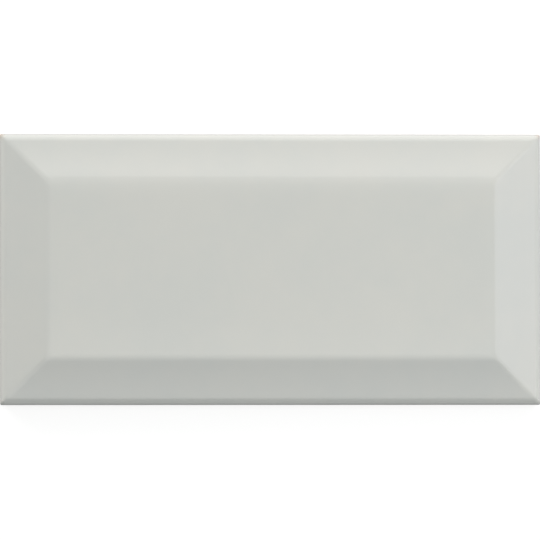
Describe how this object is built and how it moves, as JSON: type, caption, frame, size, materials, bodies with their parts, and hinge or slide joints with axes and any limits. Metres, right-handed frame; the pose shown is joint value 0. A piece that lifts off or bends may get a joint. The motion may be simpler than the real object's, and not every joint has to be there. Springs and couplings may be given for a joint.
{
  "type": "bevelled wall tile",
  "caption": "Rectangular glazed wall tile with a flat field, four wide mitred bevels, rounded glazed edges and a keyed grid of shallow recesses on its back.",
  "frame": {"origin": "middle of the back, on the plane of the ribs between the key recesses, where the tile beds or rests", "axes": "+Z out of the glazed face, +X along the length, +Y along the width"},
  "size_m": [0.15, 0.075, 0.008],
  "materials": {
    "glaze": "glossy light grey glaze over a cream earthenware body, bare on the back"
  },
  "bodies": {
    "root": {"bevelled_tile": "glaze"}
  },
  "joints": []
}
